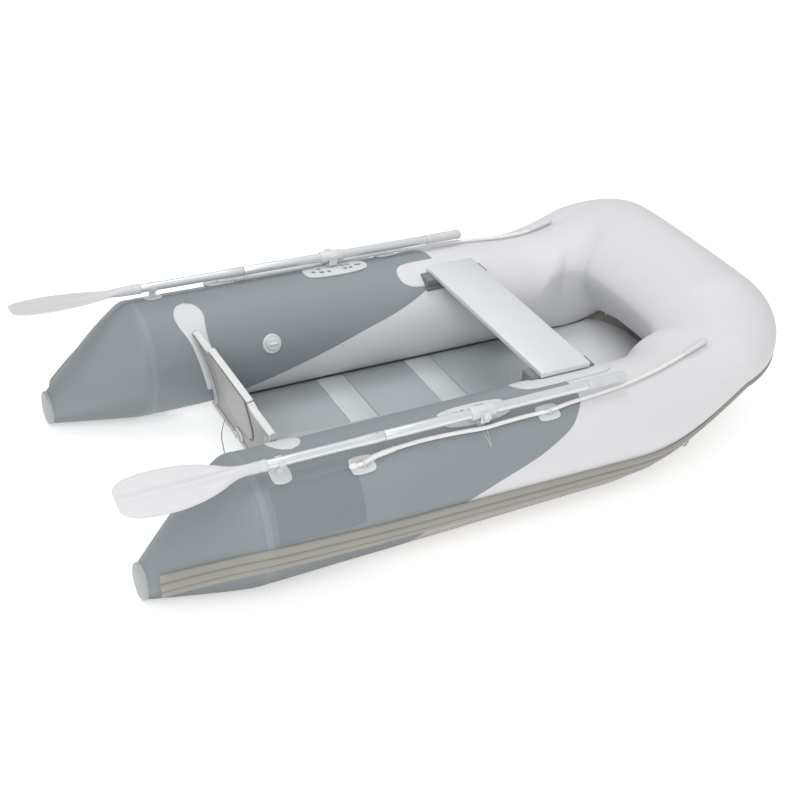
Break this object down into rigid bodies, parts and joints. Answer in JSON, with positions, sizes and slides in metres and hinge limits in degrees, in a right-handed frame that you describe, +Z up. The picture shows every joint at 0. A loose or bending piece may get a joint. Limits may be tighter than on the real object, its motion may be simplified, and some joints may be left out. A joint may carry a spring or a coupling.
{
  "type": "inflatable dinghy",
  "caption": "Small inflatable boat with U-shaped side tubes, slatted floor, raked motor transom, cross seat, rowing oars in swivel rowlocks, grab lines and a ribbed rubbing strake",
  "frame": {"origin": "middle of the bounding box at its lowest plane, on the ground under the tubes", "axes": "+X to the bow, +Y to port, +Z up"},
  "size_m": [2.3482, 1.281, 0.54],
  "materials": {
    "dark_fabric": "matt coated fabric, grey",
    "light_fabric": "matt coated fabric, light grey",
    "patch_fabric": "matt coated fabric, pale grey",
    "strake_rubber": "ribbed moulded strip",
    "cap_plastic": "moulded, satin",
    "bottom_fabric": "coated fabric",
    "floor_board": "coated board, satin",
    "strip_metal": "satin anodised",
    "transom_paint": "painted plywood, satin",
    "trim_plastic": "moulded, satin",
    "seat_metal": "brushed anodised",
    "rail_plastic": "moulded, matt",
    "shaft_metal": "polished drawn tube",
    "oar_plastic": "moulded, satin",
    "grip_plastic": "moulded, matt",
    "fitting_plastic": "moulded, satin",
    "rope_fibre": "braided rope",
    "ring_steel": "polished wire",
    "valve_plastic": "moulded, satin"
  },
  "bodies": {
    "hull": {"bow_apron": "bottom_fabric", "bow_tube": "light_fabric", "drain_socket": "trim_plastic", "end_cap_port": "cap_plastic", "end_cap_starboard": "cap_plastic", "floor_slat_1": "floor_board", "floor_slat_2": "floor_board", "floor_slat_3": "floor_board", "floor_slat_forward": "floor_board", "floor_strip_1": "strip_metal", "floor_strip_2": "strip_metal", "hull_bottom": "bottom_fabric", "lifeline_eye_aft_port": "fitting_plastic", "lifeline_eye_aft_starboard": "fitting_plastic", "lifeline_eye_mid_port": "fitting_plastic", "lifeline_eye_mid_starboard": "fitting_plastic", "lifeline_port": "rope_fibre", "lifeline_sleeve_port": "patch_fabric", "lifeline_sleeve_starboard": "patch_fabric", "lifeline_starboard": "rope_fibre", "motor_pad_aft": "trim_plastic", "motor_pad_forward": "trim_plastic", "oar_clip_port": "fitting_plastic", "oar_clip_starboard": "fitting_plastic", "rowlock_base_port": "fitting_plastic", "rowlock_base_starboard": "fitting_plastic", "rubbing_strake": "strake_rubber", "seat_patch_port": "patch_fabric", "seat_patch_starboard": "patch_fabric", "seat_rail_port": "rail_plastic", "seat_rail_starboard": "rail_plastic", "stern_tube_port": "dark_fabric", "stern_tube_starboard": "dark_fabric", "tow_mount_port": "patch_fabric", "tow_mount_starboard": "patch_fabric", "transom_board": "transom_paint", "transom_flange": "patch_fabric", "transom_patch_port": "patch_fabric", "transom_patch_starboard": "patch_fabric", "transom_top_trim": "trim_plastic", "valve_body_port": "valve_plastic", "valve_body_starboard": "valve_plastic"},
    "rowlock_port": {"rowlock_yoke_port": "fitting_plastic"},
    "oar_port": {"oar_blade_port": "oar_plastic", "oar_shaft_lower_port": "shaft_metal", "oar_shaft_upper_port": "shaft_metal", "oar_grip_port": "grip_plastic", "oar_collar_port": "fitting_plastic"},
    "valve_lid_port": {"valve_cap_port": "valve_plastic"},
    "ring_port": {"tow_ring_port": "ring_steel"},
    "rowlock_starboard": {"rowlock_yoke_starboard": "fitting_plastic"},
    "oar_starboard": {"oar_blade_starboard": "oar_plastic", "oar_shaft_lower_starboard": "shaft_metal", "oar_shaft_upper_starboard": "shaft_metal", "oar_grip_starboard": "grip_plastic", "oar_collar_starboard": "fitting_plastic"},
    "valve_lid_starboard": {"valve_cap_starboard": "valve_plastic"},
    "ring_starboard": {"tow_ring_starboard": "ring_steel"},
    "seat": {"seat_board": "seat_metal"},
    "plug": {"drain_plug": "fitting_plastic"}
  },
  "joints": [
    {"name": "rowlock_swivel_port", "type": "hinge", "parent": "hull", "child": "rowlock_port", "pos_m": [-0.0779, 0.493, 0.385], "axis": [0, 0, -1], "range_deg": [0, 118], "deforming": ["oar_clip_port"]},
    {"name": "oar_lift_port", "type": "hinge", "parent": "rowlock_port", "child": "oar_port", "pos_m": [-0.0779, 0.493, 0.413], "axis": [0, 1, 0], "range_deg": [0, 1], "deforming": ["oar_clip_port"]},
    {"name": "valve_cap_turn_port", "type": "hinge", "parent": "hull", "child": "valve_lid_port", "pos_m": [-0.3969, 0.26146, 0.26271], "axis": [0, -0.9239, 0.3827], "range_deg": [0, 90]},
    {"name": "tow_ring_swing_port", "type": "hinge", "parent": "hull", "child": "ring_port", "pos_m": [0.7215, 0.5412, 0.1426], "axis": [0.8716, -0.1806, 0.4557], "range_deg": [0, 50]},
    {"name": "rowlock_swivel_starboard", "type": "hinge", "parent": "hull", "child": "rowlock_starboard", "pos_m": [-0.0779, -0.493, 0.385], "axis": [0, 0, 1], "range_deg": [0, 118], "deforming": ["oar_clip_starboard"]},
    {"name": "oar_lift_starboard", "type": "hinge", "parent": "rowlock_starboard", "child": "oar_starboard", "pos_m": [-0.0779, -0.493, 0.413], "axis": [0, 1, 0], "range_deg": [0, 1], "deforming": ["oar_clip_starboard"]},
    {"name": "valve_cap_turn_starboard", "type": "hinge", "parent": "hull", "child": "valve_lid_starboard", "pos_m": [-0.3969, -0.26146, 0.26271], "axis": [0, 0.9239, 0.3827], "range_deg": [0, 90]},
    {"name": "tow_ring_swing_starboard", "type": "hinge", "parent": "hull", "child": "ring_starboard", "pos_m": [0.7215, -0.5412, 0.1426], "axis": [-0.8716, -0.1806, -0.4557], "range_deg": [0, 50]},
    {"name": "seat_slide", "type": "slide", "parent": "hull", "child": "seat", "axis": [1, 0, 0], "range_m": [-0.03, 0.03]},
    {"name": "drain_plug_pull", "type": "slide", "parent": "hull", "child": "plug", "axis": [-0.9659, 0, -0.2588], "range_m": [0, 0.03]}
  ]
}
